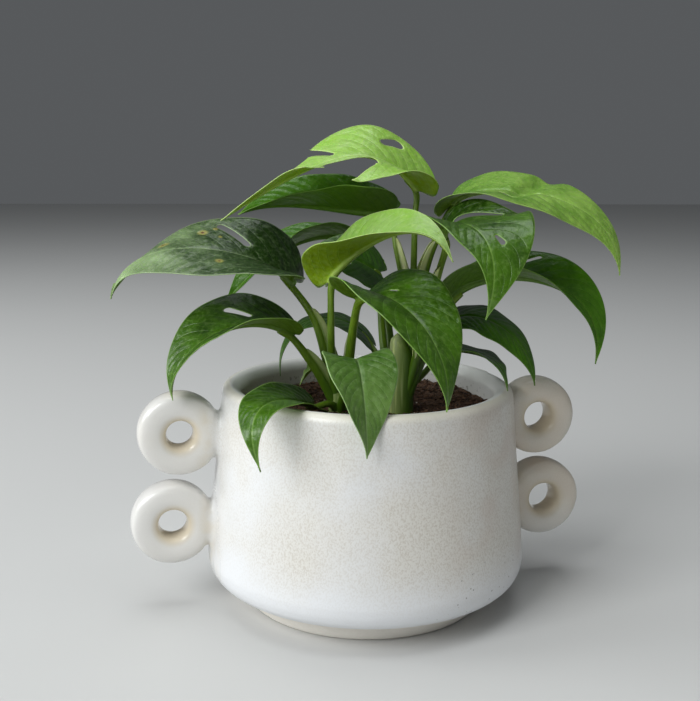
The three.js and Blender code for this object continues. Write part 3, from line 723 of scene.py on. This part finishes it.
def slot_distance(leaf, slot, along, across, length):
    (along_1, across_1), (along_2, across_2), radius_1, radius_2 = slot
    place = np.stack([half_width(leaf, along, across) * across, along * length], axis=1)
    start = place_on_sheet(leaf, along_1, across_1, length)
    line = place_on_sheet(leaf, along_2, across_2, length) - start
    share = np.clip((place - start) @ line / (line @ line), 0, 1)
    away = place - (start + share[:, None] * line)
    distance = np.linalg.norm(away, axis=1)
    radius = radius_1 + (radius_2 - radius_1) * share
    return distance - radius, away / np.maximum(distance, 1e-6)[:, None]


print("slots and holes:", sum(len(leaf.get("slots", [])) for leaf in LEAVES.values()))

# %% Cut the slots in the flat sheet
EDGE_PULL, MOST_PULL = 1.3, 3
RIM_START = 0.999


def faces_in_slots(sheet, leaf, along, across, length):
    corners = np.empty(len(sheet.data.polygons) * 4, int)
    sheet.data.polygons.foreach_get("vertices", corners)
    corners = corners.reshape(-1, 4)
    middle_along, middle_across = along[corners].mean(axis=1), across[corners].mean(axis=1)
    inside = np.zeros(len(corners), bool)
    for slot in leaf["slots"]:
        inside |= slot_distance(leaf, slot, middle_along, middle_across, length)[0] < 0
    return inside


def delete_faces(sheet, chosen):
    sheet.data.polygons.foreach_set("select", chosen)
    sheet.data.edges.foreach_set("select", np.zeros(len(sheet.data.edges), bool))
    sheet.data.vertices.foreach_set("select", np.zeros(len(sheet.data.vertices), bool))
    bpy.ops.object.mode_set(mode="EDIT")
    bpy.ops.mesh.select_mode(type="FACE")
    bpy.ops.mesh.delete(type="FACE")
    leave_edit()


def take_back(sheet, name):
    values = np.empty(len(sheet.data.vertices))
    sheet.data.attributes[name].data.foreach_get("value", values)
    sheet.data.attributes.remove(sheet.data.attributes[name])
    return values


def border_points(sheet):
    used = {}
    for polygon in sheet.data.polygons:
        for key in polygon.edge_keys:
            used[key] = used.get(key, 0) + 1
    border = np.zeros(len(sheet.data.vertices), bool)
    border[[vertex for key, times in used.items() if times == 1 for vertex in key]] = True
    return border


def cut_slots(sheet, leaf, along, across, length):
    inside = faces_in_slots(sheet, leaf, along, across, length)
    paint(sheet, "along", along)
    paint(sheet, "across", across)
    delete_faces(sheet, inside)
    along, across = take_back(sheet, "along"), take_back(sheet, "across")
    border = border_points(sheet)
    for slot in leaf["slots"]:
        gap, way = slot_distance(leaf, slot, along, across, length)
        near = ((border & (gap < EDGE_PULL)) | (gap < 0)) & (np.abs(gap) < MOST_PULL)
        width = half_width(leaf, along, across)
        inner = near & (np.abs(across) < RIM_START)
        across = np.where(inner, across - way[:, 0] * gap / width, across)
        along = np.where(near, np.clip(along - way[:, 1] * gap / length, 0, 1), along)
    return along, across

# %% Relief and thickness of a blade
VEIN_COUNT, VEIN_SLANT, VEIN_CURVE, VEIN_PUFF = 13, 3.0, 1.3, 0.1
GROOVE_DEPTH, GROOVE_WIDTH = 0.5, 0.8
WAVE_DEPTH, WAVE_RATE = 0.7, 21
EDGE_THICKNESS, BODY_THICKNESS, MOST_THICKNESS = 0.28, 0.12, 2.0
KEEL_SHARE = 0.75
FAR_FROM_SPOTS = 9.0


def relief(leaf, along, across, rib, edge):
    vein = np.cos(math.tau * (along * VEIN_COUNT - np.abs(across) ** VEIN_CURVE * VEIN_SLANT))
    puff = -vein * VEIN_PUFF * smooth_step(rib, 1.0, 5.0) * smooth_step(edge, 0.0, 3.0)
    groove = -GROOVE_DEPTH * np.exp(-((rib / GROOVE_WIDTH) ** 2)) * (1 - along * 0.6)
    ripple = WAVE_DEPTH * np.sin(along * WAVE_RATE + (across > 0) * 2 + len(leaf.get("slots", [])))
    wave = ripple * np.abs(across) ** 3 * smooth_step(along, 0.05, 0.3) * (1 - along)
    start, slant, depth, breadth = leaf.get("crease", (0, 0, 0, 1))
    from_crease = (along - start - slant * across) / breadth
    crease = -depth * np.exp(-(from_crease ** 2)) * smooth_step(-across, -1.0, 0.3)
    return puff + groove + crease + wave


def blade_thickness(leaf, along, rib, edge):
    keel = np.exp(-(rib ** 2)) * (1 - along) ** 0.7 * leaf["stalk"] * KEEL_SHARE
    return EDGE_THICKNESS + BODY_THICKNESS * smooth_step(edge, 0, 2.5) + keel


def spot_distance(name, leaf, along, across, length):
    nearest = np.full(len(along), FAR_FROM_SPOTS)
    place = np.stack([half_width(leaf, along, across) * across, along * length], axis=1)
    for spot_along, spot_across, spot_size in SPOTS.get(name, []):
        centre = place_on_sheet(leaf, spot_along, spot_across, length)
        nearest = np.minimum(nearest, np.linalg.norm(place - centre, axis=1) / spot_size)
    return nearest


print("blade thickness in mm:", EDGE_THICKNESS, "to", EDGE_THICKNESS + BODY_THICKNESS)

# %% Make one blade
ROWS, COLUMNS, COLUMN_SPREAD = 100, 56, 1.3


def make_blade(name, leaf, finish):
    deselect()
    bpy.ops.mesh.primitive_grid_add(x_subdivisions=COLUMNS, y_subdivisions=ROWS, size=2)
    sheet = bpy.context.object
    sheet.name = sheet.data.name = "blade_" + name
    flat = places(sheet)
    across = np.sign(flat[:, 0]) * np.abs(flat[:, 0]) ** COLUMN_SPREAD
    along = (flat[:, 1] + 1) / 2
    ribs, _ = rib_points(leaf, np.linspace(0, 1, 60))
    length = float(np.sum(np.linalg.norm(np.diff(ribs, axis=0), axis=1)))
    slots = leaf.get("slots", [])
    if slots:
        along, across = cut_slots(sheet, leaf, along, across, length)
    width = half_width(leaf, along, across)
    edge = np.minimum((1 - np.abs(across)) * width, along * length)
    for slot in slots:
        edge = np.minimum(edge, np.maximum(0, slot_distance(leaf, slot, along, across, length)[0]))
    rib = np.abs(across) * width
    raised = relief(leaf, along, across, rib, edge)[:, None]
    move_to(sheet, (bend(leaf, along, across) + blade_normals(leaf, along, across) * raised) * MM)
    thick = sheet.vertex_groups.new(name="thick")
    weights = np.clip(blade_thickness(leaf, along, rib, edge) / MOST_THICKNESS, 0.05, 1)
    for i, weight in enumerate(weights):
        thick.add([i], float(weight), "REPLACE")
    spot = spot_distance(name, leaf, along, across, length)
    layers = {"along": along, "across": across, "rib": rib, "edge": edge, "spot": spot}
    for layer, values in layers.items():
        paint(sheet, layer, values)
    shell = len(sheet.data.vertices)
    modify(sheet, "SOLIDIFY", thickness=MOST_THICKNESS * MM, offset=-1, use_rim=True,
           vertex_group="thick", thickness_vertex_group=0.0)
    under = np.zeros(len(sheet.data.vertices))
    under[shell:] = 1
    paint(sheet, "under", under)
    select_only(sheet)
    bpy.ops.object.shade_smooth()
    dress(sheet, finish, "leaf_" + name)
    return sheet

# %% [markdown]
# ## The leaves' finish
#
# A leaf is paler on its rib, veins and thin edge, softly mottled between them, and more yellow
# beneath. One function makes the finish from four greens, so that young and old leaves differ in
# colour alone: a deep and a bright green for the top, one for the underside, and a pale one for the
# veins. Ripening says how far the bright green gathers towards the tip: the darker base and brighter
# tip are partly ripening and partly painted shade at the base and painted sheen further out, most on
# the dusty leaf. The misty leaf's pale green is partly a painted sheen.

# %% Leaf finishes
def leaf_finish(name, deep, bright, below, pale, ripening_and_painted_light):
    leaf = Finish(name, Roughness=0.4, IOR=1.5, Subsurface_Weight=0.25, Subsurface_Scale=0.5 * MM)
    leaf.shader.inputs["Specular IOR Level"].default_value = 0.45
    leaf.shader.inputs["Subsurface Radius"].default_value = (0.6, 1.0, 0.25)
    along, across = leaf.attribute("along"), leaf.attribute("across")
    rib, edge, under, spot = (leaf.attribute(key) for key in ("rib", "edge", "under", "spot"))
    phase = along * VEIN_COUNT - (abs(across) ** VEIN_CURVE) * VEIN_SLANT
    vein = abs(leaf.math("FRACT", phase + 0.5) - 0.5)
    lateral = (1 - vein.between(0.0, 0.07)) * rib.between(0.6, 3.0) * edge.between(0.5, 3)
    net = leaf.cells(2.4 * MM, "DISTANCE_TO_EDGE").between(0.02, 0.12)
    clouds = leaf.noise(11 * MM, 3.0)
    mottle = leaf.noise(2.0 * MM, 4.0, 0.6)
    # Painted light: the green darkens towards the base as painted shade and brightens towards the tip, partly
    # ripening and partly painted sheen.
    ripe_and_painted_light = (clouds * 0.8 + along * ripening_and_painted_light).between(0.1 + ripening_and_painted_light * 0.57, 0.5 + ripening_and_painted_light)
    green = leaf.mix(ripe_and_painted_light, deep, bright)
    green = leaf.mix((1 - net) * 0.045, green, pale)
    green = leaf.mix(mottle.between(0.45, 0.75) * 0.22, green, pale)
    green = leaf.mix(lateral * 0.06, green, pale)
    green = leaf.mix((1 - rib.between(0.1, 0.5)) * 0.35, green, pale)
    beneath = leaf.mix(mottle.between(0.4, 0.7) * 0.15, below, pale)
    beneath = leaf.mix(lateral * 0.4, beneath, deep)
    beneath = leaf.mix((1 - rib.between(0.6, 1.6)) * 0.25, beneath, pale)
    both = leaf.mix(under, green, beneath)
    both = leaf.mix((1 - edge.between(0.1, 0.5)) * 0.6, both, pale)
    both = leaf.mix((1 - spot.between(1.0, 2.4)) * 0.6, both, srgb(176, 168, 84))
    both = leaf.mix(1 - spot.between(0.4, 1.0), both, srgb(92, 52, 30))
    leaf.colour(both)
    leaf.roughness(mottle * 0.16 + under * 0.2 + 0.24)
    dents = leaf.noise(4 * MM, 1.0)
    leaf.bump(net * 0.12 + mottle * 0.5 + dents * 2.5 + clouds * 3 - lateral * 0.5, 0.18 * MM)
    return leaf


TONES = {
    "young": ((126, 172, 54), (134, 168, 90), (130, 160, 2), (192, 218, 138)),
    "vivid": ((140, 188, 66), (158, 194, 108), (140, 172, 4), (206, 228, 150)),
    "fresh": ((80, 128, 24), (142, 182, 78), (96, 130, 4), (176, 206, 120)),
    # The misty green is a greyish pale green, partly the leaf's own colour and partly a painted sheen.
    "misty": ((62, 102, 26), (114, 150, 74), (84, 118, 4), (172, 198, 142)),
    # The dusty leaf's pale outer green is partly dust and partly a painted sheen, and its deep base green is
    # painted shade.
    "dusty": ((24, 54, 0), (152, 178, 126), (84, 118, 4), (172, 196, 144)),
    "full": ((26, 58, 0), (66, 108, 8), (84, 118, 4), (144, 180, 92)),
    "old": ((38, 82, 0), (70, 120, 8), (70, 106, 2), (112, 150, 56)),
}
RIPENING_AND_PAINTED_LIGHT, USUAL_RIPENING_AND_PAINTED_LIGHT = {"dusty": 1.1}, 0.35
leaf_finishes = {
    tone: leaf_finish(
        tone + "_leaf", *(srgb(*green) for green in greens), RIPENING_AND_PAINTED_LIGHT.get(tone, USUAL_RIPENING_AND_PAINTED_LIGHT))
    for tone, greens in TONES.items()}
print("leaf finishes:", len(leaf_finishes))

# %% Make every blade
USUAL_TONE = "old"
blades = {
    name: make_blade(name, leaf, leaf_finishes[leaf.get("tone", USUAL_TONE)])
    for name, leaf in LEAVES.items()}
print("blade triangles:", sum(len(blade.data.polygons) * 2 for blade in blades.values()))

# %% [markdown]
# ## Shoots
#
# Each shoot is a short stem from which the leaf stalks rise. A stalk is a long tube, grooved on the
# side that faces the shoot, and part of it carries a pair of thin pale wings, the sheath, that once
# wrapped the next leaf. A curve with a round bevel would give a tube at once, but without the
# groove. So both start as grids: one is rolled into a tube round a smooth path, and the others are
# laid along it.

# %% Shoot finish
shoot = Finish("stalk", Roughness=0.42, IOR=1.45, Subsurface_Weight=0.2, Subsurface_Scale=0.8 * MM)
shoot.shader.inputs["Subsurface Radius"].default_value = (0.6, 1.0, 0.25)
rise, wing = shoot.attribute("rise"), shoot.attribute("wing")
streaks = shoot.noise(1.0, 2.0, 0.5, shoot.stretched((700, 700, 50)))
stalk_green = shoot.mix(rise.between(0.1, 0.95), srgb(62, 94, 10), srgb(112, 142, 30))
stalk_green = shoot.mix(streaks.between(0.35, 0.7) * 0.35, stalk_green, srgb(52, 84, 14))
# The wings' pale colour is partly their own and partly painted light, painted brighter as if lit from behind.
sheath_pale_with_painted_backlight = shoot.mix(streaks.between(0.4, 0.75), srgb(218, 228, 160), srgb(238, 243, 200))
sheath_foot = (1 - rise.between(0.2, 0.6)) * streaks.between(0.2, 0.55) * 0.8
sheath_pale_with_painted_backlight = shoot.mix(sheath_foot, sheath_pale_with_painted_backlight, srgb(100, 124, 34))
shoot.colour(shoot.mix(wing, stalk_green, sheath_pale_with_painted_backlight))
shoot.bump(streaks, 0.06 * MM)
print("shoot nodes:", len(shoot.nodes))

# %% The path of a stalk
SHOOTS = {"left": (-14, -4), "right": (13, -10)}
STALK_START, STALK_RINGS = 86, 48
CURVE_STEPS = 40
INWARD_RISE, WING_TURN = 30, 60


def catmull_rom(points, count):
    points = np.array(points, float)
    ghosts = np.vstack([2 * points[0] - points[1], points, 2 * points[-1] - points[-2]])
    dense = []
    for i in range(1, len(ghosts) - 2):
        p0, p1, p2, p3 = ghosts[i - 1:i + 3]
        pairs = ((p0, p1), (p1, p2), (p2, p3))
        step_0, step_1, step_2 = (np.linalg.norm(b - a) ** 0.5 for a, b in pairs)
        slope_1 = ((p1 - p0) / step_0 - (p2 - p0) / (step_0 + step_1) + (p2 - p1) / step_1) * step_1
        slope_2 = ((p2 - p1) / step_1 - (p3 - p1) / (step_1 + step_2) + (p3 - p2) / step_2) * step_1
        t = np.linspace(0, 1, CURVE_STEPS, endpoint=i == len(ghosts) - 3)[:, None]
        dense.append((2 * t ** 3 - 3 * t ** 2 + 1) * p1 + (t ** 3 - 2 * t ** 2 + t) * slope_1
                     + (3 * t ** 2 - 2 * t ** 3) * p2 + (t ** 3 - t ** 2) * slope_2)
    dense = np.vstack(dense)
    walked = np.concatenate([[0], np.cumsum(np.linalg.norm(np.diff(dense, axis=0), axis=1))])
    even = np.linspace(0, walked[-1], count)
    return np.stack([np.interp(even, walked, dense[:, axis]) for axis in range(3)], axis=1)


def stalk_path(leaf):
    x_mm, y_mm = SHOOTS[leaf["shoot"]]
    base = np.array([0.0, 0.08])
    under = blade_normals(leaf, np.array([0.05]), np.array([0.0]))[0] * -0.7 * leaf["stalk"]
    ends = bend(leaf, base, np.zeros(2)) + under
    points = catmull_rom([(x_mm, y_mm, STALK_START), *leaf["path"], *ends], STALK_RINGS + 1)
    tangent = unit(np.gradient(points, axis=0))
    inward = np.array((x_mm, y_mm, 0)) - points * (1, 1, 0) + np.array((0, 0, INWARD_RISE))
    inward = inward + WING_TURN * np.array(leaf.get("wing", (0, 0, 0)))
    inward = unit(inward - tangent * np.sum(inward * tangent, axis=1)[:, None])
    return points, inward, np.cross(tangent, inward)


print("top of leaf a's stalk in mm:", stalk_path(LEAVES["a"])[0][-1].round(1).tolist())

# %% Roll a grid into a stalk
STALK_SIDES = 16
FOOT_WIDTH, STALK_TAPER = 1.35, 0.6
KNEE_SWELL, KNEE_PLACE, KNEE_REACH = 0.18, 0.93, 0.05
FURROW_DEPTH, FURROW_ANGLE = 0.16, 0.45


def grid_sheet(columns, rows):
    deselect()
    bpy.ops.mesh.primitive_grid_add(x_subdivisions=columns, y_subdivisions=rows, size=2)
    sheet = bpy.context.object
    flat = places(sheet)
    return sheet, flat[:, 0], (flat[:, 1] + 1) / 2


def close_tube(tube):
    edit(tube)
    bpy.ops.mesh.select_all(action="SELECT")
    bpy.ops.mesh.remove_doubles(threshold=0.01 * MM)
    bpy.ops.mesh.fill_holes(sides=0)
    bpy.ops.mesh.normals_make_consistent(inside=False)
    leave_edit()


def stalk_radius(leaf, share):
    return leaf["stalk"] * (FOOT_WIDTH - STALK_TAPER * share)


def stalk_tube(leaf):
    points, inward, aside = stalk_path(leaf)
    tube, turn, share = grid_sheet(STALK_SIDES, STALK_RINGS)
    ring = np.rint(share * STALK_RINGS).astype(int)
    knee = 1 + KNEE_SWELL * np.exp(-(((share - KNEE_PLACE) / KNEE_REACH) ** 2))
    angle = math.pi * turn
    furrow = 1 - FURROW_DEPTH * np.exp(-((angle / FURROW_ANGLE) ** 2))
    radius = stalk_radius(leaf, share) * knee * furrow
    move_to(tube, (points[ring] + inward[ring] * (radius * np.cos(angle))[:, None]
                   + aside[ring] * (radius * np.sin(angle))[:, None]) * MM)
    close_tube(tube)
    corners = places(tube) / MM
    nearest = np.argmin(np.linalg.norm(corners[:, None] - points[None], axis=2), axis=1)
    paint(tube, "rise", nearest / STALK_RINGS)
    paint(tube, "wing", np.zeros(len(corners)))
    return tube


print("foot radius of leaf a's stalk in mm:", stalk_radius(LEAVES["a"], 0))

# %% The sheath's wings
WING_COLUMNS, WING_ROWS = 6, 30
WING_ROOT, WING_SPREAD, WING_CLOSING = 0.55, 0.72, 0.55
RUFFLE_DEPTH, RUFFLE_RATE = 0.25, 19
WING_THICKNESS, USUAL_WING_TONE = 0.35, 0.45


def sheath_wing(leaf, side):
    points, inward, aside = stalk_path(leaf)
    start, end, reach = leaf["sheath"]
    wing_sheet, turn, share = grid_sheet(WING_COLUMNS, WING_ROWS)
    outward = (turn + 1) / 2
    where = share * end * STALK_RINGS
    low = np.floor(where).astype(int)
    high, rest = np.minimum(low + 1, STALK_RINGS), (where - low)[:, None]

    def on_path(values):
        return values[low] * (1 - rest) + values[high] * rest

    radius = stalk_radius(leaf, share * end)
    rounded = np.sqrt(np.clip(1 - share ** 3, 0, 1)) * smooth_step(share, start - 0.1, start + 0.15)
    ruffle = RUFFLE_DEPTH * np.sin(share * RUFFLE_RATE + side) * outward
    inner = (radius * WING_ROOT + reach * rounded * outward)[:, None]
    over = (side * (radius * WING_SPREAD * (1 - WING_CLOSING * outward) + ruffle))[:, None]
    move_to(wing_sheet, (on_path(points) + on_path(inward) * inner + on_path(aside) * over) * MM)
    paint(wing_sheet, "rise", share * end)
    paint(wing_sheet, "wing", smooth_step(outward, 0.0, 0.4) * leaf.get("wing_tone", USUAL_WING_TONE))
    modify(wing_sheet, "SOLIDIFY", thickness=WING_THICKNESS * MM, offset=0)
    return wing_sheet


print("stalks with a sheath:", sum("sheath" in leaf for leaf in LEAVES.values()))

# %% The short stem of a shoot
SHOOT_TOPS = {"left": (98, 4.0), "right": (122, 5.2)}
SHOOT_BOTTOM = 66
STEM_SIDES, STEM_RINGS = 32, 24
STEM_RADIUS, STEM_OVAL = 6.5, 0.8
SHOULDER_START, SHOULDER_ROUND, TOP_LEAN = 0.85, 0.85, 0.8


def short_stem(side):
    x_mm, y_mm = SHOOTS[side]
    top, top_radius = SHOOT_TOPS[side]
    stem, turn, share = grid_sheet(STEM_SIDES, STEM_RINGS)
    angle = math.pi * turn
    rounded = np.sqrt(1 - SHOULDER_ROUND * smooth_step(share, SHOULDER_START, 1.0) ** 2)
    radius = (STEM_RADIUS + (top_radius - STEM_RADIUS) * share) * rounded
    sideways, deep = radius * np.cos(angle), radius * np.sin(angle) * STEM_OVAL
    leaning = smooth_step(share, 0.5, 1.0) * sideways * TOP_LEAN
    height = SHOOT_BOTTOM + (top - SHOOT_BOTTOM) * share - leaning
    move_to(stem, np.stack([x_mm + sideways, y_mm + deep, height], axis=1) * MM)
    close_tube(stem)
    points = places(stem) / MM
    paint(stem, "rise", (points[:, 2] - SOIL_LEVEL) / 100)
    paint(stem, "wing", smooth_step(x_mm - points[:, 0], -2, 5) * 0.8)
    return stem


print("stem tops in mm:", SHOOT_TOPS)

# %% Join each shoot
for side in SHOOTS:
    parts = [short_stem(side)]
    for leaf in LEAVES.values():
        if leaf["shoot"] == side:
            parts.append(stalk_tube(leaf))
            if "sheath" in leaf:
                parts += [sheath_wing(leaf, -1), sheath_wing(leaf, 1)]
    shoot_piece = join(parts, "shoot_" + side)
    bpy.ops.object.shade_smooth()
    dress(shoot_piece, shoot, "stems_" + side)
    print(shoot_piece.name, "faces:", len(shoot_piece.data.polygons))

# %% [markdown]
# ## Floor and light
#
# The planter stands on a plain pale floor. A large soft light high on the left, towards the viewer,
# stands for an open sky. A smaller one on the left brightens that side, a weak one in front lifts
# the shade under the leaves, and a broad one overhead lights their tops and the soil.

# %% Floor
floor_finish = Finish("floor", Roughness=0.85)
worn = floor_finish.noise(0.4, 2.0) * 0.3
floor_finish.colour(floor_finish.mix(worn, srgb(206, 206, 204), srgb(198, 198, 197)))
deselect()
bpy.ops.mesh.primitive_plane_add(size=8)
floor = bpy.context.object
floor.name = floor.data.name = "floor"
floor.data.materials.append(floor_finish.material)
floor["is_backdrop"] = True
print("floor nodes:", len(floor_finish.nodes))

# %% Lights
def soft_light(name, place, aim, size, power, colour):
    bpy.ops.object.light_add(type="AREA", location=place)
    light = bpy.context.object
    light.name = name
    light.data.size, light.data.energy, light.data.color = size, power, colour
    toward = (Vector(aim) - Vector(place)).to_track_quat("-Z", "Y").to_matrix().to_4x4()
    light.matrix_world = Matrix.Translation(place) @ toward


BODY_MIDDLE, RING_MIDDLE = (0, 0, 0.08), (0, 0, 0.1)
CLEAR, WARM, COOL = (0.97, 0.99, 1.0), (1.0, 1.0, 0.98), (0.95, 0.98, 1.0)
soft_light("sky", (-1.45, -0.85, 1.2), BODY_MIDDLE, size=1.0, power=26, colour=CLEAR)
soft_light("side", (-1.6, 0.35, 0.75), RING_MIDDLE, size=0.7, power=9, colour=CLEAR)
soft_light("front", (-0.8, -1.2, 1.0), BODY_MIDDLE, size=0.8, power=2.4, colour=WARM)
soft_light("top", (-0.1, 0.0, 1.8), BODY_MIDDLE, size=1.2, power=14, colour=COOL)

AIR_COLOUR, AIR_STRENGTH = (0.80, 0.84, 0.88, 1), 0.12
world = bpy.data.worlds.new("air")
bpy.context.scene.world = world
world.use_nodes = True
air = world.node_tree.nodes["Background"]
air.inputs["Color"].default_value = AIR_COLOUR
air.inputs["Strength"].default_value = AIR_STRENGTH
bpy.context.scene.view_settings.view_transform = "Standard"

# %% Measure and finish
visual_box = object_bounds()
for label, box in (("CAD", cad_box), ("visual", visual_box)):
    print(label, "size in mm:", [round((high - low) / MM, 1) for low, high in zip(*box)])
